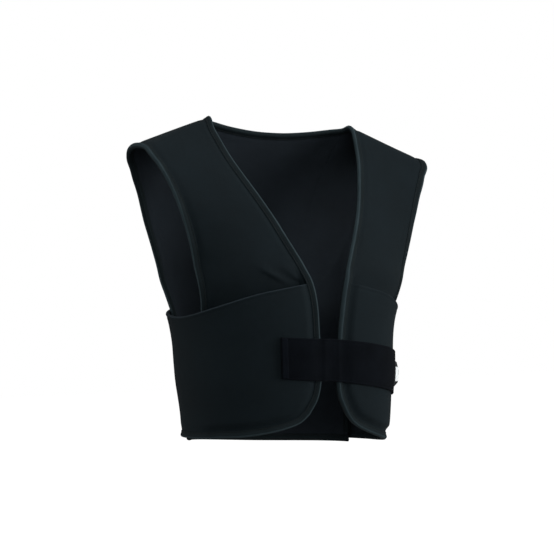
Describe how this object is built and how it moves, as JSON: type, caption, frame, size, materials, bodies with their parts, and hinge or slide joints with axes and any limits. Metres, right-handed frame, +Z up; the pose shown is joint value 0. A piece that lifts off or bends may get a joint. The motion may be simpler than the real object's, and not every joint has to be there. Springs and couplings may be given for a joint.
{
  "type": "rib protector vest",
  "caption": "Soft padded rib protector vest, open at the front and under the arms, with bound edges, wraps round the ribs and a closure strap across the front.",
  "frame": {"origin": "on the centre line, under the shoulder cloth where the neck edge crosses the shoulder line, so it is the point that a wearer's shoulders carry", "axes": "+Z up, the wearer faces -Y, and +X is the wearer's left"},
  "size_m": [0.403, 0.2175, 0.4121],
  "materials": {
    "padded_cloth": "fine black knit with a faint soft sheen",
    "binding_tape": "smooth black folded tape",
    "strap_webbing": "matt black brushed loop webbing",
    "bare_label": "plain white, nothing printed on it"
  },
  "bodies": {
    "root": {"back_panel": "padded_cloth", "chest_panel_right": "padded_cloth", "chest_panel_left": "padded_cloth", "rib_wrap_right": "padded_cloth", "rib_wrap_left": "padded_cloth", "edge_binding": "binding_tape", "armhole_binding_right": "binding_tape", "armhole_binding_left": "binding_tape", "back_hem_binding": "binding_tape", "closure_strap": "strap_webbing", "strap_end_band": "strap_webbing", "pull_tab": "strap_webbing", "tab_label": "bare_label"}
  },
  "joints": []
}
